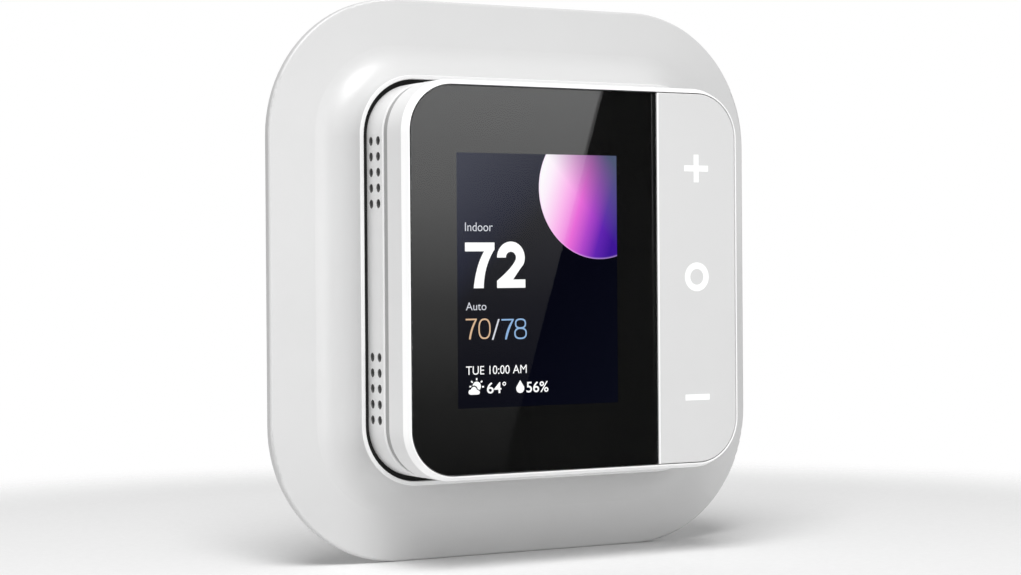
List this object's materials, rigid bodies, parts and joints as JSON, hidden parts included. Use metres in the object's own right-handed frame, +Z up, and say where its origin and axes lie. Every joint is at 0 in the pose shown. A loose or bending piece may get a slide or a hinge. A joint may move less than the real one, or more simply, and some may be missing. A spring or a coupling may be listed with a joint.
{
  "type": "wall thermostat",
  "caption": "White square wall thermostat with a black glass front, colour display, a grey side key strip and a flared trim plate; the head pulls off a wired base.",
  "frame": {"origin": "on the wall plane, halfway between the two wall screw holes, at the middle of the square plate", "axes": "+X to the right seen from the room, +Y into the wall, +Z up; the glass faces -Y"},
  "size_m": [0.14, 0.0312, 0.14],
  "materials": {
    "white_shell": "satin moulded ABS/PC",
    "plate_shell": "satin moulded ABS/PC",
    "key_shell": "satin, light grey",
    "symbol_ink": "gloss white inlay",
    "cover_glass": "polished, anti-fingerprint",
    "black_print": "screen-printed black",
    "tape": "adhesive tape",
    "lcd": "lit picture behind glass",
    "diffuser": "white light guide",
    "tin_steel": "tinned",
    "polyimide": "amber flexible circuit",
    "circuit_board": "green solder mask",
    "chip_black": "moulded epoxy",
    "connector_black": "nylon",
    "connector_cream": "nylon",
    "gold_pins": "gold flashed",
    "clamp_brass": "rolled",
    "zinc_screw": "zinc plated",
    "spring_steel": "rolled",
    "aluminium_can": "drawn can, sleeved",
    "relay_grey": "moulded",
    "terminal_grey": "moulded nylon",
    "lever_orange": "moulded nylon",
    "foam": "closed-cell foam",
    "base_grey": "moulded ABS",
    "sensor_metal": "plated cap"
  },
  "bodies": {
    "wall_side": {"trim_plate": "plate_shell", "base_plate": "base_grey", "base_screws": "zinc_screw", "base_board": "circuit_board", "base_socket": "connector_black", "terminal_block_left": "terminal_grey", "terminal_block_right": "terminal_grey", "terminal_clamps": "clamp_brass", "jumper_housing": "connector_black", "latch_springs": "spring_steel"},
    "head": {"rear_shell": "white_shell", "draught_seal": "foam", "front_shell": "white_shell", "cover_glass": "cover_glass", "glass_print": "black_print", "glass_tape": "tape", "lcd_panel": "lcd", "lcd_backlight": "diffuser", "lcd_frame": "tin_steel", "lcd_flex": "polyimide", "lcd_connector": "connector_cream", "main_board": "circuit_board", "board_screws": "zinc_screw", "head_screws": "zinc_screw", "processor": "chip_black", "memory_chip": "chip_black", "wifi_module": "circuit_board", "wifi_shield": "tin_steel", "buzzer": "connector_black", "relays": "relay_grey", "capacitors": "aluminium_can", "pin_header": "connector_black", "header_pins": "gold_pins", "sensor_board": "circuit_board", "humidity_sensor": "sensor_metal", "sensor_baffle": "foam", "key_frame": "base_grey", "key_frame_screws": "zinc_screw", "key_board": "circuit_board", "dome_plus": "spring_steel", "dome_select": "spring_steel", "dome_minus": "spring_steel"},
    "key_carrier": {"key_carrier": "base_grey", "key_pivot_pin": "zinc_screw"},
    "key_panel": {"key_panel": "key_shell", "key_symbol_plus": "symbol_ink", "key_symbol_select": "symbol_ink", "key_symbol_minus": "symbol_ink"},
    "jumper_slider": {"jumper_slider": "connector_cream"},
    "lever_left_1": {"lever_left_1": "lever_orange"},
    "lever_left_2": {"lever_left_2": "lever_orange"},
    "lever_left_3": {"lever_left_3": "lever_orange"},
    "lever_left_4": {"lever_left_4": "lever_orange"},
    "lever_left_5": {"lever_left_5": "lever_orange"},
    "lever_right_1": {"lever_right_1": "lever_orange"},
    "lever_right_2": {"lever_right_2": "lever_orange"},
    "lever_right_3": {"lever_right_3": "lever_orange"},
    "lever_right_4": {"lever_right_4": "lever_orange"},
    "lever_right_5": {"lever_right_5": "lever_orange"}
  },
  "joints": [
    {"name": "head_pull", "type": "slide", "parent": "wall_side", "child": "head", "axis": [0, -1, 0], "range_m": [0, 0.04], "deforming": ["latch_springs"]},
    {"name": "key_press", "type": "slide", "parent": "head", "child": "key_carrier", "axis": [0, 1, 0], "range_m": [0, 0.00035], "stiffness_N_per_m": 6000, "deforming": ["dome_select", "dome_plus", "dome_minus"]},
    {"name": "key_rock", "type": "hinge", "parent": "key_carrier", "child": "key_panel", "pos_m": [0.0347, -0.0282, 0], "axis": [1, 0, 0], "range_deg": [-0.75, 0.75], "stiffness_Nm_per_rad": 2.5, "deforming": ["dome_plus", "dome_minus"]},
    {"name": "jumper_slide", "type": "slide", "parent": "wall_side", "child": "jumper_slider", "axis": [1, 0, 0], "range_m": [0, 0.003]},
    {"name": "lever_left_1_push", "type": "slide", "parent": "wall_side", "child": "lever_left_1", "axis": [0, 1, 0], "range_m": [0, 0.0014], "stiffness_N_per_m": 1200},
    {"name": "lever_left_2_push", "type": "slide", "parent": "wall_side", "child": "lever_left_2", "axis": [0, 1, 0], "range_m": [0, 0.0014], "stiffness_N_per_m": 1200},
    {"name": "lever_left_3_push", "type": "slide", "parent": "wall_side", "child": "lever_left_3", "axis": [0, 1, 0], "range_m": [0, 0.0014], "stiffness_N_per_m": 1200},
    {"name": "lever_left_4_push", "type": "slide", "parent": "wall_side", "child": "lever_left_4", "axis": [0, 1, 0], "range_m": [0, 0.0014], "stiffness_N_per_m": 1200},
    {"name": "lever_left_5_push", "type": "slide", "parent": "wall_side", "child": "lever_left_5", "axis": [0, 1, 0], "range_m": [0, 0.0014], "stiffness_N_per_m": 1200},
    {"name": "lever_right_1_push", "type": "slide", "parent": "wall_side", "child": "lever_right_1", "axis": [0, 1, 0], "range_m": [0, 0.0014], "stiffness_N_per_m": 1200},
    {"name": "lever_right_2_push", "type": "slide", "parent": "wall_side", "child": "lever_right_2", "axis": [0, 1, 0], "range_m": [0, 0.0014], "stiffness_N_per_m": 1200},
    {"name": "lever_right_3_push", "type": "slide", "parent": "wall_side", "child": "lever_right_3", "axis": [0, 1, 0], "range_m": [0, 0.0014], "stiffness_N_per_m": 1200},
    {"name": "lever_right_4_push", "type": "slide", "parent": "wall_side", "child": "lever_right_4", "axis": [0, 1, 0], "range_m": [0, 0.0014], "stiffness_N_per_m": 1200},
    {"name": "lever_right_5_push", "type": "slide", "parent": "wall_side", "child": "lever_right_5", "axis": [0, 1, 0], "range_m": [0, 0.0014], "stiffness_N_per_m": 1200}
  ]
}
